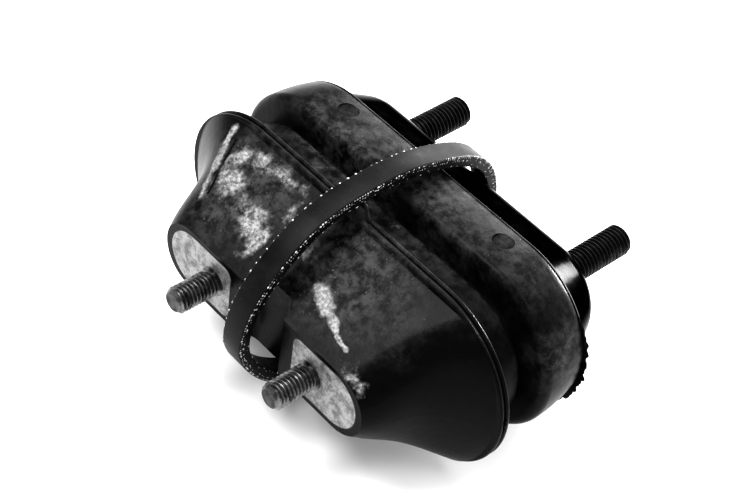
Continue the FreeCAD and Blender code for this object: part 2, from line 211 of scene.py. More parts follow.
class Graph:
    """The node tree of one material, built by calls that return wires."""

    def __init__(self, name: str) -> None:
        """Start a material that has only its surface shader.

        Args:
            name: The material's name.
        """
        self.material = bpy.data.materials.new(name)
        self.material.use_nodes = True
        self.tree = self.material.node_tree
        self.shader = self.tree.nodes["Principled BSDF"]

    def node(self, kind: str, output: str | int, inputs: dict | None = None, **settings: object) -> Wire:
        """Add one node.

        Args:
            kind: The node's type, without its ShaderNode prefix.
            output: The output that the returned wire comes from.
            inputs: What each input is set to or fed from.
            **settings: The node's own properties.

        Returns:
            The wire from the chosen output.
        """
        made = self.tree.nodes.new("ShaderNode" + kind)
        for key, value in settings.items():
            setattr(made, key, value)
        for key, value in (inputs or {}).items():
            self.feed(made.inputs[key], value)
        return Wire(self, made.outputs[output])

    def feed(self, socket: bpy.types.NodeSocket, value: object) -> None:
        """Set an input to a plain value, or link a wire to it.

        Args:
            socket: The input socket.
            value: A number, a colour, a vector or a wire.
        """
        if isinstance(value, Wire):
            self.tree.links.new(value.socket, socket)
        elif isinstance(value, tuple) and socket.type == "RGBA":
            socket.default_value = (*value, 1.0)
        else:
            socket.default_value = value

    def math(self, operation: str, first: Number, second: Number) -> Wire:
        """Combine two numbers."""
        return self.node("Math", 0, {0: first, 1: second}, operation=operation)

    def vector(self, operation: str, first: object, second: object, output: str = "Vector") -> Wire:
        """Combine two vectors."""
        return self.node("VectorMath", output, {0: first, 1: second}, operation=operation)

    def place(self) -> Wire:
        """Return the point being shaded, in the object's own coordinates."""
        return self.node("TexCoord", "Object")

    def noise(self, feature_mm: float, detail: float = 3.0, roughness: float = 0.5,
              output: str = "Fac", at: Wire | None = None) -> Wire:
        """Return smooth noise.

        Args:
            feature_mm: The size of its largest features, in millimetres.
            detail: How many finer layers it has.
            roughness: How strong the finer layers are.
            output: Fac for a number, Color for three.
            at: Where it is read, or None for the point being shaded.

        Returns:
            The noise, from 0 to 1.
        """
        return self.node("TexNoise", output, {"Vector": at or self.place(), "Scale": 1.0 / (feature_mm * MM),
                                              "Detail": detail, "Roughness": roughness})

    def warped_place(self, feature_mm: float, reach_mm: float) -> Wire:
        """Push the point being shaded about, so that round forms turn ragged.

        Args:
            feature_mm: The size of the pushes' largest features, in millimetres.
            reach_mm: How far a point is pushed at most, in millimetres.

        Returns:
            The pushed point.
        """
        push = self.vector("SUBTRACT", self.noise(feature_mm, 4.0, 0.6, "Color"), grey(0.5))
        scaled = self.vector("MULTIPLY", push, grey(2.0 * reach_mm * MM))
        return self.vector("ADD", self.place(), scaled)

    def step(self, value: Wire, low: float, high: float, start: float = 0.0, end: float = 1.0) -> Wire:
        """Make a smooth step from one level to another.

        Args:
            value: The value that drives the step.
            low: Where the step starts.
            high: Where it ends.
            start: The level up to low.
            end: The level from high on.

        Returns:
            The stepped value.
        """
        return self.node("MapRange", "Result", {"Value": value, "From Min": low, "From Max": high,
                                                "To Min": start, "To Max": end},
                         interpolation_type="SMOOTHSTEP")

    def mix(self, share: Wire, first: Colour | Wire, second: Colour | Wire) -> Wire:
        """Return a blend of two colours."""
        return self.node("Mix", 2, {0: share, 6: first, 7: second}, data_type="RGBA")

    def near(self, at: Wire, spot: Vector, stretch: Sequence[float], reach: float) -> Wire:
        """Fall evenly from 1 at a spot to 0 at the reach.

        Args:
            at: The point being shaded, warped or not.
            spot: The spot, in frame coordinates.
            stretch: What each axis is multiplied by before the distance is taken.
            reach: The distance at which 0 is met, in metres.

        Returns:
            The nearness, from 0 to 1.
        """
        offset = self.vector("MULTIPLY", self.vector("SUBTRACT", at, tuple(spot)), tuple(stretch))
        distance = self.node("VectorMath", "Value", {0: offset}, operation="LENGTH")
        return self.node("MapRange", "Result", {"Value": distance, "From Min": 0.0, "From Max": reach,
                                                "To Min": 1.0, "To Max": 0.0})

    def near_line(self, at: Wire, start: Vector, end: Vector, reach: float) -> Wire:
        """Fall evenly from 1 along a line to 0 at the reach.

        Args:
            at: The point being shaded, warped or not.
            start: One end of the line, in frame coordinates.
            end: Its other end.
            reach: The distance at which 0 is met, in metres.

        Returns:
            The nearness, from 0 to 1.
        """
        run = end - start
        offset = self.vector("SUBTRACT", at, tuple(start))
        along = self.vector("DOT_PRODUCT", offset, tuple(run / run.length_squared), "Value")
        kept = self.node("Clamp", "Result", {"Value": along})
        foot = self.node("VectorMath", "Vector", {0: tuple(run), "Scale": kept}, operation="SCALE")
        distance = self.vector("DISTANCE", offset, foot, "Value")
        return self.node("MapRange", "Result", {"Value": distance, "From Min": 0.0, "From Max": reach,
                                                "To Min": 1.0, "To Max": 0.0})

    def bump(self, height: Wire, distance_mm: float, strength: float = 1.0) -> None:
        """Give the surface a bump.

        Args:
            height: The bump's height at each point, from 0 to 1.
            distance_mm: What a height of 1 stands for, in millimetres.
            strength: How much of the bump shows.
        """
        normal = self.node("Bump", "Normal", {"Height": height, "Distance": distance_mm * MM,
                                              "Strength": strength})
        self.feed(self.shader.inputs["Normal"], normal)

    def finish(self, **inputs: object) -> bpy.types.Material:
        """Set the surface's inputs.

        Args:
            **inputs: What each input is set to or fed from, named with underscores for spaces.

        Returns:
            The finished material.
        """
        for key, value in inputs.items():
            self.feed(self.shader.inputs[key.replace("_", " ")], value)
        return self.material


# ---------------------------------------------------------------- finishes


@dataclass(frozen=True)
class Patch:
    """A patch of wear, of dirt or of painted sheen: its place and reach in millimetres, its strength and its
    stretch.
    """

    place: tuple[float, float, float]
    reach: float
    strength: float = 1.0
    stretch: tuple[float, float, float] = (1.0, 1.0, 1.0)


@dataclass(frozen=True)
class Streak:
    """A long mark from one place to another, in millimetres, with its half-width and strength."""

    start: tuple[float, float, float]
    end: tuple[float, float, float]
    reach: float
    strength: float = 1.0


@dataclass(frozen=True)
class MouldedRubber:
    """Black rubber: satin where clean, grey with dirt and painted sheen in places, chalky and speckled where
    rubbed, with a painted highlight along the left flare's rounded edge and painted shade in the fold lines
    beside it.
    """

    chalk: tuple[Patch, ...] = (
        Patch((-42.0, 18.5, 24.8), 9.5, 1.0),
        Patch((-46.0, 26.0, 29.2), 6.5, 0.95, (1.1, 0.8, 0.8)),
        Patch((-39.0, 30.0, 31.5), 7.0, 0.8, (0.6, 1.2, 1.2)),
        Patch((-28.0, 30.6, 31.8), 9.0, 0.62, (0.45, 1.4, 1.4)),
        Patch((-25.0, 14.0, 22.0), 8.5, 1.1),
        Patch((-19.0, 11.5, 20.4), 6.5, 1.05, (1.3, 0.7, 0.7)),
        Patch((-33.0, 15.5, 22.8), 6.0, 0.6),
        Patch((-16.0, 24.0, 28.0), 5.0, 0.7, (0.8, 0.8, 0.8)),
        Patch((0.8, 18.7, 24.7), 6.0, 0.6),
        Patch((42.5, 2.8, 14.9), 6.5, 0.72),
        Patch((48.5, 2.4, 12.4), 6.0, 0.76),
        Patch((-28.9, 46.8, 26.6), 5.0, 0.55),
        Patch((8.8, 50.0, 26.6), 4.0, 0.6),
    )
    smears: tuple[Streak, ...] = (
        Streak((12.6, 13.6, 21.6), (20.0, 11.0, 20.1), 4.3),
        Streak((18.0, 11.6, 20.5), (27.0, 8.2, 18.4), 2.6, 0.9),
        Streak((26.0, 8.6, 18.6), (35.0, 5.4, 16.6), 1.5, 1.0),
        # Painted highlight, partly rubbing: these three follow the pale band where the left flare's rounded
        # edge catches the light.
        Streak((-47.5, 10.5, 18.6), (-52.4, 19.3, 23.1), 2.8, 0.56),
        Streak((-52.4, 19.3, 23.1), (-55.6, 26.2, 27.6), 3.6, 0.66),
        Streak((-55.6, 26.2, 27.6), (-57.4, 32.4, 32.0), 2.4, 0.78),
    )
    # Each a shallow groove in the bump and painted shade in the colour: dark lines beside the left flare's
    # bright edge.
    creases: tuple[Streak, ...] = (
        Streak((-45.6, 11.9, 20.2), (-49.8, 19.6, 25.2), 0.9),
        Streak((-49.8, 19.6, 25.2), (-53.0, 29.0, 31.0), 1.0),
        Streak((-51.0, 9.6, 15.5), (-57.8, 20.0, 19.0), 0.8, 0.8),
    )
    # Dirt, with painted sheen: some of these patches lighten the rubber where light falls rather than where
    # dirt lies.
    dust: tuple[Patch, ...] = (
        Patch((14.0, 24.0, 28.0), 40.0, 1.0, (0.8, 1.0, 1.0)),
        Patch((-36.0, 20.0, 25.6), 34.0, 1.15),
        Patch((-66.0, 26.0, 14.0), 24.0, 0.55),
        Patch((-55.0, 10.0, 10.0), 18.0, 0.6),
        Patch((26.1, 15.0, 22.5), 7.0, 1.4),
        Patch((0.0, 68.0, 35.0), 60.0, 0.75, (0.55, 1.0, 1.0)),
        Patch((-20.0, 55.0, 30.0), 40.0, 0.7, (0.6, 1.0, 1.0)),
        # Painted sheen on the collar's front face.
        Patch((-25.0, 57.0, 31.5), 16.0, 1.3, (0.35, 1.0, 1.0)),
        # Painted sheen on the collar's right end.
        Patch((76.0, 66.0, 12.0), 22.0, 0.9),
    )

    def cover(self, g: Graph, marks: Iterable[Patch | Streak], at: Wire) -> Wire:
        """Return the strongest of the marks at each point.

        Args:
            g: The material's graph.
            marks: The patches and streaks.
            at: The point being shaded, warped or not.

        Returns:
            How strongly the point is covered, from 0 to about 1.
        """
        covered: Wire | float = 0.0
        for mark in marks:
            if isinstance(mark, Streak):
                spot = g.near_line(at, DATUM.at(*mark.start), DATUM.at(*mark.end), mark.reach * MM)
            else:
                spot = g.near(at, DATUM.at(*mark.place), mark.stretch, mark.reach * MM)
            covered = (spot * mark.strength) | covered
        return covered

    def material(self) -> bpy.types.Material:
        """Make the finish.

        Returns:
            The finished material.
        """
        g = Graph("moulded_rubber_skin")
        cloud = g.noise(4.0, 7.0, 0.7)
        fine = g.noise(1.2, 5.0, 0.65)
        torn = g.noise(3.4, 7.0, 0.70)
        chalk = g.step(self.cover(g, self.chalk, g.warped_place(11.0, 7.0)) + torn * 1.1, 0.78, 1.34)
        # Scuffs, and the painted highlight along the left flare's rounded edge.
        smear = g.step(self.cover(g, self.smears, g.warped_place(7.0, 2.6)) + torn * 0.8, 0.55, 1.05)
        crease_groove_and_shade = g.step(self.cover(g, self.creases, g.warped_place(5.0, 0.8)), 0.15, 0.60)
        dust = g.step(self.cover(g, self.dust, g.warped_place(16.0, 6.0)) + g.noise(10.0, 6.0, 0.7) * 0.7,
                      0.40, 1.30)
        pits = g.step(g.noise(2.0, 5.0, 0.65), 0.36, 0.52)
        # Rubbing, and the painted highlight along the left flare's edge.
        wear_and_highlight = (chalk * (pits * 0.7 + 0.3)) | (smear * (pits * 0.3 + 0.7))
        pale = wear_and_highlight * (1 - crease_groove_and_shade)
        specks = g.step(g.noise(0.9, 1.0), 0.71, 0.76) * dust * 0.3
        clean = g.mix(cloud, grey(0.0015), grey(0.004))
        # Grey where dirt lies, and painted sheen where the sheen patches lie.
        dust_and_sheen_colour = g.mix(dust, clean, g.mix(g.step(cloud, 0.36, 0.66), grey(0.004), grey(0.058)))
        marked = g.mix(pale | specks, dust_and_sheen_colour, g.mix(g.step(fine, 0.35, 0.65), grey(0.15), grey(0.36)))
        # Painted shade: the fold lines are darkened to near black.
        colour = g.mix(crease_groove_and_shade, marked, grey(0.003))
        g.bump(fine * 0.30 + pale * 0.5 - crease_groove_and_shade * 0.8 + g.noise(2.6, 5.0, 0.6) * 0.5, 0.20, 0.8)
        return g.finish(Base_Color=colour, Specular_IOR_Level=0.065,
                        Roughness=g.step(dust * 0.4 + pale + cloud * 0.4, 0.0, 1.4, 0.28, 0.66))


@dataclass(frozen=True)
class StrapRubber:
    """The strap's smooth dark grey rubber, with faint marks along it."""

    dark: float = 0.004
    light: float = 0.010

    def material(self) -> bpy.types.Material:
        """Make the finish.

        Returns:
            The finished material.
        """
        g = Graph("strap_rubber_skin")
        cloud = g.step(g.noise(12.0, 5.0, 0.6), 0.3, 0.7)
        scuff = g.step(g.noise(1.2, 3.0, 0.7), 0.62, 0.78) * 0.35
        g.bump(g.noise(0.5, 2.0) * 0.4 + g.noise(4.0, 3.0) * 0.6, 0.10, 0.5)
        return g.finish(Base_Color=g.mix(scuff, g.mix(cloud, grey(self.dark), grey(self.light)), grey(0.09)),
                        Roughness=g.step(cloud, 0.0, 1.0, 0.36, 0.50), Specular_IOR_Level=0.12)


@dataclass(frozen=True)
class CordFibre:
    """The off-white fibre of the cut cord ends, darkened by dirt."""

    def material(self) -> bpy.types.Material:
        """Make the finish.

        Returns:
            The finished material.
        """
        g = Graph("cord_fibre")
        dirt = g.step(g.noise(2.2, 3.0), 0.42, 0.62)
        return g.finish(Base_Color=g.mix(dirt, grey(0.62), grey(0.10)), Roughness=0.85)


@dataclass(frozen=True)
class BareSteel:
    """The feet's pale, dull steel, with a fine grain, stains and short scratches."""

    def material(self) -> bpy.types.Material:
        """Make the finish.

        Returns:
            The finished material.
        """
        g = Graph("bare_plate_steel")
        grain = g.noise(0.35, 3.0, 0.65)
        stain = g.step(g.noise(5.0, 7.0, 0.75), 0.42, 0.62)
        pits = g.step(g.noise(0.8, 3.0), 0.56, 0.68)
        base = g.mix(stain, grey(0.32), grey(0.12))
        g.bump(grain * 0.6 + g.noise(2.5, 4.0) * 0.7, 0.10, 0.6)
        return g.finish(Base_Color=g.mix(pits * 0.6, base, grey(0.09)), Metallic=0.55,
                        Roughness=g.step(grain, 0.3, 0.7, 0.46, 0.62))


@dataclass(frozen=True)
class ThreadSteel:
    """A stud's steel: dark in the grooves, with rubbed crests."""

    name: str
    dark: float
    light: float

    def material(self) -> bpy.types.Material:
        """Make the finish.

        Returns:
            The finished material.
        """
        g = Graph(self.name)
        grime = g.step(g.noise(3.2, 4.0, 0.6), 0.36, 0.68)
        g.bump(g.noise(0.6, 2.0), 0.015, 0.4)
        return g.finish(Base_Color=g.mix(grime, grey(self.light), grey(self.dark)), Metallic=0.9,
                        Roughness=g.step(grime, 0.0, 1.0, 0.28, 0.5))


@dataclass(frozen=True)
class GlossPaint:
    """The cup's gloss black paint, with a faint orange peel."""

    def material(self) -> bpy.types.Material:
        """Make the finish.

        Returns:
            The finished material.
        """
        g = Graph("gloss_black_paint")
        g.bump(g.noise(3.5, 2.0), 0.05, 0.3)
        smear = g.step(g.noise(8.0, 4.0), 0.45, 0.7, 0.12, 0.22)
        return g.finish(Base_Color=grey(0.022), Roughness=smear, Metallic=1.0,
                        Specular_Tint=grey(0.35))


class Finishes:
    """Every material, each made once."""

    def __init__(self) -> None:
        """Make the materials."""
        self.rubber = MouldedRubber().material()
        self.strap = StrapRubber().material()
        self.cord = CordFibre().material()
        self.plate = BareSteel().material()
        self.front_stud = ThreadSteel("front_stud_steel", 0.03, 0.15).material()
        # The rear studs' steel is a darker copy of the front studs' steel: partly their black finish, partly
        # painted shade for the shade they lie in.
        self.rear_stud = ThreadSteel("rear_stud_steel", 0.008, 0.04).material()
        self.stud_tip = ThreadSteel("stud_tip_steel", 0.01, 0.04).material()
        self.cup = GlossPaint().material()
        self.seam = Graph("seam_shadow").finish(Base_Color=grey(0.006), Roughness=0.8)
        paper = Graph("floor_paper")
        self.floor = paper.finish(Base_Color=grey(0.90), Roughness=0.95, Specular_IOR_Level=0.1)


# ---------------------------------------------------------------- pieces


def add_piece(name: str, bm: bmesh.types.BMesh, materials: Sequence[bpy.types.Material],
              replaces: str | None = None) -> None:
    """Add a piece to the scene, on the mount's one body.

    Args:
        name: The piece's name.
        bm: Its mesh, in frame coordinates, which this call uses up.
        materials: Its finishes, in the order of the faces' material numbers.
        replaces: The CAD node that it stands for, if any.
    """
    bmesh.ops.recalc_face_normals(bm, faces=bm.faces)
    for face in bm.faces:
        face.smooth = True
    mesh = bpy.data.meshes.new(name)
    bm.to_mesh(mesh)
    bm.free()
    mesh.set_sharp_from_angle(angle=SHARP_ANGLE)
    for material in materials:
        mesh.materials.append(material)
    piece = bpy.data.objects.new(name, mesh)
    bpy.context.scene.collection.objects.link(piece)
    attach(piece, BODY)
    if replaces:
        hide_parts(replaces)
    LOG.info("%s: %d faces", name, len(mesh.polygons))


@dataclass
class ThreadedStud:
    """A headed stud with its thread cut, made about the Y axis with its tip at y = 0."""

    node: str
    wall_face: float
    wall_back: float
    pitch: float
    radius: float
    material: bpy.types.Material
    tip_material: bpy.types.Material
    relief_length: float = 1.2 * MM
    relief_depth: float = 0.9 * MM
    chamfer: float = 1.4 * MM
    shank_growth: float = 0.75 * MM
    depth_share: float = 0.60
    crest_trim: float = 0.02 * MM
    spare_turns: int = 2
    segments: int = 48
    box: Box = field(init=False)

    def __post_init__(self) -> None:
        """Read the stud's own box."""
        self.box = Box.of(self.node)

    @property
    def tip_y(self) -> float:
        """Where the tip is in the frame."""
        ends = (self.box.low.y, self.box.high.y)
        return max(ends, key=lambda y: abs(y - self.wall_back))

    def groove(self) -> list[tuple[float, float]]:
        """Draw one pitch of the thread's section.

        Returns:
            The section's corners, each as its radius and its distance along.
        """
        root = self.radius - self.pitch * self.depth_share
        crest = self.radius - self.crest_trim
        section = ((crest, 0.0), (crest, 0.07), (root, 0.44), (root, 0.56), (crest, 0.93), (crest, 1.0))
        return [(radius, share * self.pitch) for radius, share in section]

    def thread(self, bm: bmesh.types.BMesh, length: float) -> None:
        """Screw the groove's section round the axis and trim it to the thread's length.

        Args:
            bm: The mesh that takes the thread.
            length: How long the thread is.
        """
        before = self.spare_turns * self.pitch
        line = [bm.verts.new((radius, along - before, 0.0)) for radius, along in self.groove()]
        runs = [bm.edges.new(pair) for pair in zip(line, line[1:])]
        turns = int(length / self.pitch) + 2 * self.spare_turns
        bmesh.ops.spin(bm, geom=line + runs, cent=(0, 0, 0), axis=(0, 1, 0), angle=2 * math.pi * turns,
                       dvec=(0, self.pitch / self.segments, 0), steps=turns * self.segments)
        bmesh.ops.remove_doubles(bm, verts=bm.verts, dist=SAME_PLACE)
        for y, outward in ((0.0, -1), (length, 1)):
            bmesh.ops.bisect_plane(bm, geom=bm.verts[:] + bm.edges[:] + bm.faces[:], plane_co=(0, y, 0),
                                   plane_no=(0, outward, 0), clear_outer=True)
        for vert in bm.verts:
            self.limit(vert, self.radius - self.chamfer + vert.co.y)

    @staticmethod
    def limit(vert: bmesh.types.BMVert, radius: float) -> None:
        """Pull a vertex in towards the axis if it stands out too far.

        Args:
            vert: The vertex.
            radius: The furthest that it may stand from the axis.
        """
        stands = math.hypot(vert.co.x, vert.co.z)
        if stands > radius:
            vert.co.x *= radius / stands
            vert.co.z *= radius / stands

    @staticmethod
    def open_ring(bm: bmesh.types.BMesh, y: float) -> list[bmesh.types.BMEdge]:
        """Return the open edges that lie at a distance along the axis."""
        return [edge for edge in bm.edges
                if edge.is_boundary and all(abs(vert.co.y - y) < SAME_PLACE for vert in edge.verts)]

    @staticmethod
    def grow(bm: bmesh.types.BMesh, ring: list[bmesh.types.BMEdge], y: float, radius: float) -> list:
        """Extrude an open ring.

        Args:
            bm: The mesh that the ring belongs to.
            ring: The ring's edges.
            y: The new ring's distance along the axis.
            radius: The new ring's radius.

        Returns:
            The new ring's edges.
        """
        made = bmesh.ops.extrude_edge_only(bm, edges=ring)["geom"]
        for vert in (item for item in made if isinstance(item, bmesh.types.BMVert)):
            scale = radius / math.hypot(vert.co.x, vert.co.z)
            vert.co = (vert.co.x * scale, y, vert.co.z * scale)
        return [item for item in made if isinstance(item, bmesh.types.BMEdge)]

    def build(self) -> None:
        """Add the stud in place of its plain solid."""
        face_at = abs(self.wall_face - self.tip_y)
        back_at = abs(self.wall_back - self.tip_y)
        head_radius = self.box.size.x / 2
        bm = bmesh.new()
        self.thread(bm, face_at - self.relief_length)
        for face in bmesh.ops.holes_fill(bm, edges=self.open_ring(bm, 0.0))["faces"]:
            face.material_index = 1
        ring = self.open_ring(bm, face_at - self.relief_length)
        for y, radius in (
            (face_at - self.relief_length, self.radius - self.relief_depth),
            (face_at, self.radius - self.relief_depth),
            (face_at, self.radius + self.shank_growth),
            (back_at, self.radius + self.shank_growth),
            (back_at, head_radius),
            (self.box.size.y, head_radius),
        ):
            ring = self.grow(bm, ring, y, radius)
        bmesh.ops.holes_fill(bm, edges=ring)
        inward = 1.0 if self.wall_back > self.tip_y else -1.0
        turn = Matrix.Identity(4) if inward > 0 else Matrix.Rotation(math.pi, 4, "Z")
        middle = Vector((self.box.centre.x, self.tip_y, self.box.centre.z))
        bmesh.ops.transform(bm, matrix=Matrix.Translation(middle) @ turn, verts=bm.verts)
        finishes = (self.material, self.tip_material)
        add_piece(self.node + "_threaded", bm, finishes, self.node)


@dataclass
class Studs:
    """The four studs: coarse M10 threads in the feet and M12 threads in the cup."""

    finishes: Finishes
    front_pitch: float = 1.5 * MM
    rear_pitch: float = 1.75 * MM
    cup_wall: float = 3.0 * MM

    def build(self) -> None:
        """Add every stud."""
        plate = Box.of("right_foot_plate")
        cup = Box.of("rear_cup")
        for side in Side:
            front, rear = f"{side.word}_front_stud", f"{side.word}_rear_stud"
            ThreadedStud(front, plate.low.y, plate.high.y, self.front_pitch, mount_size(front, "r_mm"),
                         self.finishes.front_stud, self.finishes.stud_tip).build()
            ThreadedStud(rear, cup.high.y, cup.high.y - self.cup_wall, self.rear_pitch,
                         mount_size(rear, "r_mm"), self.finishes.rear_stud, self.finishes.stud_tip).build()


@dataclass
class PlateSeam:
    """The dark line between a foot's plate and the rubber round it."""

    side: Side
    material: bpy.types.Material
    width: float = 0.45 * MM
    lift: float = 0.03 * MM
    stud_clear: float = 7.0 * MM

    def build(self) -> None:
        """Inset the plate's own face and keep the narrow band along its edges."""
        node = f"{self.side.word}_foot_plate"
        face_y = Box.of(node).low.y
        bm = bmesh.new()
        bm.from_mesh(frame["nodes"][node].data)
        bmesh.ops.remove_doubles(bm, verts=bm.verts, dist=WELD)
        front = [face for face in bm.faces
                 if all(abs(vert.co.y - face_y) < SAME_PLACE for vert in face.verts)]
        rest = [face for face in bm.faces if face not in set(front)]
        bmesh.ops.delete(bm, geom=rest, context="FACES")
        band = bmesh.ops.inset_region(bm, faces=bm.faces[:], thickness=self.width, use_boundary=True,
                                      use_even_offset=True)["faces"]
        kept = set(band)
        stud_x = self.side.value * mount_size("front_studs", "pcd_mm") / 2
        stud = Vector((stud_x, face_y, DATUM.origin.z))
        near_stud = {face for face in kept if (face.calc_center_median() - stud).length < self.stud_clear}
        bmesh.ops.delete(bm, geom=[face for face in bm.faces if face not in kept or face in near_stud],
                         context="FACES")
        bmesh.ops.translate(bm, verts=bm.verts, vec=(0.0, -self.lift, 0.0))
        bmesh.ops.solidify(bm, geom=bm.faces[:], thickness=self.lift)
        add_piece(f"{self.side.word}_plate_seam", bm, (self.material,))


@dataclass(frozen=True)
class Station:
    """One place along the strap's outside: the point and the directions out of it and along it."""

    point: Vector
    outward: Vector
    along: Vector


@dataclass
class Strap:
    """The strap's loop, worked out from the outline of its solid."""

    station_count: int = 288
    smoothing_passes: int = 5
    edge_round: float = 0.5 * MM
    corner_angle: float = math.radians(60.0)
    low_x: float = field(init=False)
    width: float = field(init=False)
    inner: list[Vector] = field(init=False)
    outer: list[Vector] = field(init=False)
    loop_length: float = field(init=False)
    stations: list[Station] = field(init=False)

    def __post_init__(self) -> None:
        """Read the solid's outlines and space the stations along the outer one."""
        box = Box.of("restraint_strap")
        self.low_x = box.low.x
        self.width = box.size.x
        loops = sorted(self.side_loops(box.high.x), key=self.length)
        self.inner = self.evenly(loops[0])
        self.outer = self.evenly(loops[1])
        self.loop_length = self.length(self.outer)
        self.stations = [self.station(index) for index in range(self.station_count)]

    @staticmethod
    def length(loop: Sequence[Vector]) -> float:
        """Return how long a closed loop is."""
        return sum((loop[index] - loop[index - 1]).length for index in range(len(loop)))

    @staticmethod
    def side_loops(side_x: float) -> list[list[Vector]]:
        """Find the two closed loops that bound the solid's flat side.

        Args:
            side_x: Where the flat side lies.

        Returns:
            The loops, each as its corners in order.
        """
        bm = bmesh.new()
        bm.from_mesh(frame["nodes"]["restraint_strap"].data)
        bmesh.ops.remove_doubles(bm, verts=bm.verts, dist=WELD)
        others = [face for face in bm.faces
                  if any(abs(vert.co.x - side_x) > SAME_PLACE for vert in face.verts)]
        bmesh.ops.delete(bm, geom=others, context="FACES")
        rim = {vert: [edge.other_vert(vert) for edge in vert.link_edges if edge.is_boundary]
               for vert in bm.verts}
        loops = []
        while rim:
            here = next(iter(rim))
            loop = []
            while here is not None:
                loop.append(here.co.copy())
                here = next((vert for vert in rim.pop(here) if vert in rim), None)
            loops.append(loop)
        bm.free()
        return loops

    def evenly(self, loop: Sequence[Vector]) -> list[Vector]:
        """Space points evenly along a loop and smooth its facets away.

        Args:
            loop: The loop's corners, in order.

        Returns:
            The points, from the loop's front and upwards.
        """
        start = min(range(len(loop)), key=lambda index: loop[index].y)
        turned = [*loop[start:], *loop[:start]]
        if turned[len(turned) // 8].z < turned[0].z:
            turned = [turned[0], *reversed(turned[1:])]
        closed = [*turned, turned[0]]
        total = self.length(loop)
        spaced: list[Vector] = []
        travelled = 0.0
        for here, there in zip(closed, closed[1:]):
            step = (there - here).length
            while len(spaced) < self.station_count:
                due = len(spaced) * total / self.station_count
                if due > travelled + step:
                    break
                spaced.append(here.lerp(there, (due - travelled) / step))
            travelled += step
        for _ in range(self.smoothing_passes):
            spaced = [spaced[index] * 0.5 + (spaced[index - 1] + spaced[(index + 1) % len(spaced)]) * 0.25
                      for index in range(len(spaced))]
        return spaced

    def station(self, index: int) -> Station:
        """Describe one of the outside's points.

        Args:
            index: The point's number.

        Returns:
            The station there, in the middle of the strap's width.
        """
        point = self.outer[index]
        along = (self.outer[(index + 1) % self.station_count] - self.outer[index - 1]).normalized()
        return Station(Vector((0.0, point.y, point.z)), Vector((0.0, -along.z, along.y)), along)

    def build(self, material: bpy.types.Material) -> None:
        """Bridge the two outlines, extrude them across the width and round the edges.

        Args:
            material: The strap's finish.
        """
        bm = bmesh.new()
        edges = []
        for loop in (self.outer, self.inner):
            ring = [bm.verts.new((self.low_x, point.y, point.z)) for point in loop]
            edges += [bm.edges.new((ring[index - 1], ring[index])) for index in range(len(ring))]
        side = bmesh.ops.bridge_loops(bm, edges=edges)["faces"]
        made = bmesh.ops.extrude_face_region(bm, geom=side)["geom"]
        moved = [item for item in made if isinstance(item, bmesh.types.BMVert)]
        bmesh.ops.translate(bm, verts=moved, vec=(self.width, 0.0, 0.0))
        bmesh.ops.recalc_face_normals(bm, faces=bm.faces)
        corners = [edge for edge in bm.edges
                   if len(edge.link_faces) == 2 and edge.calc_face_angle() > self.corner_angle]
        bmesh.ops.bevel(bm, geom=corners, offset=self.edge_round, offset_type="OFFSET", segments=3,
                        profile=0.5, affect="EDGES", material=-1)
        add_piece("restraint_strap_loop", bm, (material,), "restraint_strap")


@dataclass(frozen=True)
class CordRow:
    """A row of cut cord ends along one cut edge of the strap."""

    name: str
    side: Side
    depth: float
    spacing: float
    radius: float
    stand_out: float
    scatter: float
    along: float
    across_rear: float = 1.0
    rear_from_mm: float = 70.0
    length_spread: tuple[float, float] = (0.7, 1.4)
    depth_spread: tuple[float, float] = (0.85, 1.15)
    size_spread: tuple[float, float] = (0.65, 1.2)

    def shape(self, station: Station, chance: random.Random) -> Matrix:
        """Turn and stretch one end: along the strap, or across it at the rear.

        Args:
            station: The place on the strap.
            chance: The source of the ends' differences.

        Returns:
            The end's turn and stretch.
        """
        turn = station.along.to_track_quat("Y", "X").to_matrix().to_4x4()
        rear = station.point.y > DATUM.at(0.0, self.rear_from_mm, 0.0).y
        across = self.across_rear if rear else 1.0
        along = self.along * chance.uniform(*self.length_spread) / across
        return turn @ Matrix.Diagonal((across, along, 1.0, 1.0))

    def build(self, strap: Strap, material: bpy.types.Material, chance: random.Random) -> None:
        """Add the row as one piece of small round ends set into the edge.

        Args:
            strap: The strap that the row belongs to.
            material: The cords' finish.
            chance: The source of the ends' differences.
        """
        bm = bmesh.new()
        count = int(strap.loop_length / self.spacing)
        for index in range(count):
            place = (index + chance.uniform(-self.scatter, self.scatter)) / count * len(strap.stations)
            station = strap.stations[int(place) % len(strap.stations)]
            depth = self.depth * chance.uniform(*self.depth_spread)
            x = self.side.value * (strap.width / 2 - self.radius * (1.0 - self.stand_out))
            centre = station.point - station.outward * depth + Vector((x, 0.0, 0.0))
            radius = self.radius * chance.uniform(*self.size_spread)
            bmesh.ops.create_icosphere(bm, subdivisions=2, radius=radius,
                                       matrix=Matrix.Translation(centre) @ self.shape(station, chance))
        add_piece(self.name, bm, (material,))


CORD_ROWS = (
    CordRow("cord_ends_right_outer", Side.RIGHT, 0.70 * MM, 1.05 * MM, 0.40 * MM, 0.40, 0.25, 1.1, 1.7),
    CordRow("cord_ends_right_middle", Side.RIGHT, 1.85 * MM, 1.15 * MM, 0.32 * MM, 0.32, 0.35, 1.5, 1.6),
    CordRow("cord_ends_right_inner", Side.RIGHT, 3.9 * MM, 2.6 * MM, 0.28 * MM, 0.20, 0.4, 1.6),
    CordRow("cord_ends_left_outer", Side.LEFT, 0.30 * MM, 3.1 * MM, 0.42 * MM, 0.45, 0.25, 1.1),
)


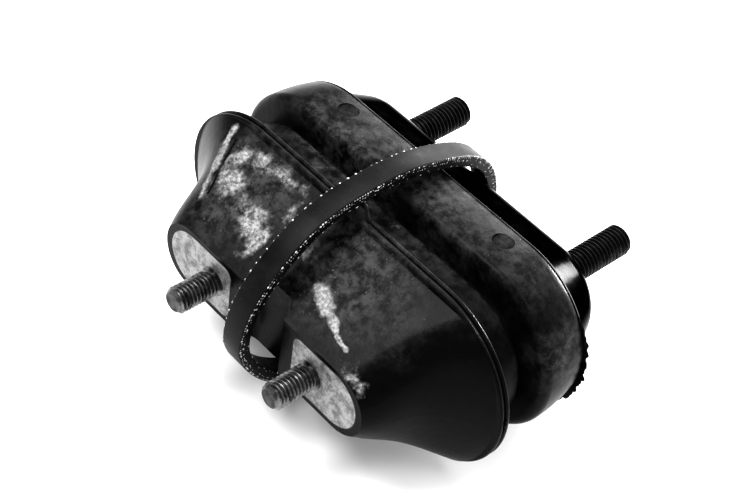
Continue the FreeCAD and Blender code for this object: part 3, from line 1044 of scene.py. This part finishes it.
@dataclass
class Flash:
    """The thin ragged fin of rubber left round the collar's back edge, largest at its lower right.

    Its sizes are in millimetres. It starts to grow past right_from and below low_from, and has
    grown to its full size one run further on.
    """

    centre_x: float = 45.8
    radius: float = 32.6
    depth: float = 77.6
    root: float = 1.2
    thickness: float = 0.35
    points: int = 420
    points_per_run: int = 130
    least_reach: float = 0.05
    even_reach: float = 0.25
    low_reach: float = 1.5
    tooth_reach: float = 2.4
    right_from: float = 48.0
    right_run: float = 12.0
    low_from: float = 20.0
    low_run: float = 10.0
    slow_ripple: float = 0.09
    fast_ripple: float = 0.65
    nub_place: tuple[float, float, float] = (82.3, 36.3, 3.7)
    nub_radius: float = 0.9
    nub_stretch: tuple[float, float, float, float] = (1.0, 0.6, 1.4, 1.0)

    def ring(self, bm: bmesh.types.BMesh) -> list[bmesh.types.BMEdge]:
        """Draw a closed stadium just inside the collar's back edge.

        Args:
            bm: The empty mesh that takes it.

        Returns:
            The stadium's edges.
        """
        bmesh.ops.create_circle(bm, segments=self.points, radius=self.radius - self.root)
        bmesh.ops.rotate(bm, verts=bm.verts, matrix=Matrix.Rotation(math.pi / 2, 3, "X"))
        for vert in bm.verts:
            half = 1 if vert.co.x > -SAME_PLACE / MM else -1
            vert.co.x += half * self.centre_x
        runs = [edge for edge in bm.edges if edge.calc_length() > self.centre_x]
        bmesh.ops.subdivide_edges(bm, edges=runs, cuts=self.points_per_run)
        bmesh.ops.translate(bm, verts=bm.verts, vec=(0.0, self.depth, 0.0))
        return bm.edges[:]

    def raggedness(self, place: Vector) -> float:
        """Work out how far the fin sticks out at a place.

        Args:
            place: A place on the stadium, in millimetres.

        Returns:
            The fin's reach past the collar's edge, in millimetres.
        """
        right_end = max(0.0, min(1.0, (place.x - self.right_from) / self.right_run))
        low_end = right_end * max(0.0, min(1.0, (self.low_from - place.z) / self.low_run))
        slow = noise.noise(place * self.slow_ripple) * 0.5 + 0.5
        fast = noise.noise(place * self.fast_ripple) * 0.5 + 0.5
        return self.even_reach * slow + low_end * (self.low_reach + slow + self.tooth_reach * (fast - 0.5))

    def build(self, material: bpy.types.Material) -> None:
        """Extrude the ring outwards into a ragged fin and give it a thickness.

        Args:
            material: The rubber's finish.
        """
        bm = bmesh.new()
        edges = self.ring(bm)
        for share in (0.5, 1.0):
            made = bmesh.ops.extrude_edge_only(bm, edges=edges)["geom"]
            edges = [item for item in made if isinstance(item, bmesh.types.BMEdge)]
            for vert in (item for item in made if isinstance(item, bmesh.types.BMVert)):
                middle_x = max(-self.centre_x, min(self.centre_x, vert.co.x))
                out = Vector((vert.co.x - middle_x, 0.0, vert.co.z)).normalized()
                reach = self.root + max(self.least_reach, self.raggedness(vert.co))
                stands = self.radius - self.root + share * reach
                vert.co = Vector((middle_x, self.depth, 0.0)) + out * stands
        bmesh.ops.recalc_face_normals(bm, faces=bm.faces)
        bmesh.ops.solidify(bm, geom=bm.faces[:], thickness=self.thickness)
        nub = Matrix.Translation(self.nub_place) @ Matrix.Diagonal(self.nub_stretch)
        bmesh.ops.create_icosphere(bm, subdivisions=3, radius=self.nub_radius, matrix=nub)
        to_frame = Matrix.Translation(DATUM.origin) @ Matrix.Scale(MM, 4)
        bmesh.ops.transform(bm, matrix=to_frame, verts=bm.verts)
        add_piece("collar_flash", bm, (material,))


# ---------------------------------------------------------------- studio


def direction(azimuth: float, elevation: float) -> Vector:
    """Return the direction towards a viewer at an azimuth from -Y and an elevation, in degrees."""
    turn, rise = math.radians(azimuth), math.radians(elevation)
    return Vector((math.sin(turn) * math.cos(rise), -math.cos(turn) * math.cos(rise), math.sin(rise)))


@dataclass(frozen=True)
class Softbox:
    """A square studio light that points at the mount."""

    name: str
    azimuth: float
    elevation: float
    distance: float
    size: float
    power: float

    def build(self, target: Vector) -> None:
        """Add the light.

        Args:
            target: The place that it points at.
        """
        data = bpy.data.lights.new(self.name, "AREA")
        data.shape = "SQUARE"
        data.size = self.size
        data.energy = self.power
        light = bpy.data.objects.new(self.name, data)
        bpy.context.scene.collection.objects.link(light)
        away = direction(self.azimuth, self.elevation)
        light.location = target + away * self.distance
        light.rotation_euler = away.to_track_quat("Z", "Y").to_euler()


@dataclass(frozen=True)
class Studio:
    """The floor, the white surroundings and the lights."""

    surroundings: float = 0.60
    floor_half_size: float = 5.0
    aim: tuple[float, float, float] = (0.0, 45.0, 0.0)
    lights: tuple[Softbox, ...] = (
        Softbox("key", -40.0, 58.0, 2.2, 0.70, 31.0),
        Softbox("overhead", -150.0, 72.0, 2.2, 1.1, 34.0),
        Softbox("fill", 100.0, 62.0, 2.2, 0.9, 13.0),
        Softbox("back_edge", -153.0, 22.0, 1.5, 0.5, 9.0),
        Softbox("cup_highlight", 178.0, 3.0, 0.9, 0.16, 20.0),
    )

    def build(self, floor_material: bpy.types.Material) -> None:
        """Add the floor, the world and the lights.

        Args:
            floor_material: The floor's finish.
        """
        bm = bmesh.new()
        bmesh.ops.create_grid(bm, x_segments=2, y_segments=2, size=self.floor_half_size)
        mesh = bpy.data.meshes.new("floor")
        bm.to_mesh(mesh)
        bm.free()
        mesh.materials.append(floor_material)
        floor = bpy.data.objects.new("floor", mesh)
        bpy.context.scene.collection.objects.link(floor)
        world = bpy.data.worlds.new("studio")
        world.use_nodes = True
        background = world.node_tree.nodes["Background"]
        background.inputs["Color"].default_value = (1.0, 1.0, 1.0, 1.0)
        background.inputs["Strength"].default_value = self.surroundings
        bpy.context.scene.world = world
        bpy.context.scene.view_settings.view_transform = "Standard"
        bpy.context.scene.view_settings.look = "High Contrast"
        for light in self.lights:
            light.build(DATUM.at(*self.aim))


@dataclass(frozen=True)
class View:
    """The camera: where it looks from, how it is rolled and its lens."""

    azimuth: float = 42.418
    elevation: float = 45.104
    roll: float = 8.958
    distance: float = 603.445 * MM
    target: tuple[float, float, float] = (10.072, 40.0, 22.316)
    lens: float = 85.44
    sensor: float = 36.0

    def build(self) -> None:
        """Add the camera and make it the scene's."""
        back = direction(self.azimuth, self.elevation)
        right = direction(self.azimuth + 90.0, 0.0)
        up = back.cross(right)
        turn = math.radians(self.roll)
        rolled_right = right * math.cos(turn) + up * math.sin(turn)
        rolled_up = up * math.cos(turn) - right * math.sin(turn)
        data = bpy.data.cameras.new("camera")
        data.lens = self.lens
        data.sensor_width = self.sensor
        camera = bpy.data.objects.new("camera", data)
        bpy.context.scene.collection.objects.link(camera)
        rotation = Matrix((rolled_right, rolled_up, back)).transposed()
        location = DATUM.at(*self.target) + back * self.distance
        camera.matrix_world = Matrix.Translation(location) @ rotation.to_4x4()
        bpy.context.scene.camera = camera


def dress_nodes(finishes: Finishes) -> None:
    """Give the solids that stay as they are their finishes.

    Args:
        finishes: The materials.
    """
    dress = {
        "rubber_body": finishes.rubber,
        "left_foot_plate": finishes.plate,
        "right_foot_plate": finishes.plate,
        "interleaf_plate": finishes.seam,
        "rear_cup": finishes.cup,
    }
    for node, material in dress.items():
        for slot in frame["nodes"][node].material_slots:
            slot.material = material
        LOG.info("%s: %s", node, material.name)


def main() -> None:
    """Build the whole scene."""
    logging.basicConfig(level=logging.INFO, format="%(name)s %(message)s")
    finishes = Finishes()
    dress_nodes(finishes)
    Studs(finishes).build()
    for side in Side:
        PlateSeam(side, finishes.seam).build()
    strap = Strap()
    strap.build(finishes.strap)
    chance = random.Random(CORD_SEED)
    for row in CORD_ROWS:
        row.build(strap, finishes.cord, chance)
    Flash().build(finishes.rubber)
    Studio().build(finishes.floor)
    View().build()


if __name__ == "__main__":
    main()
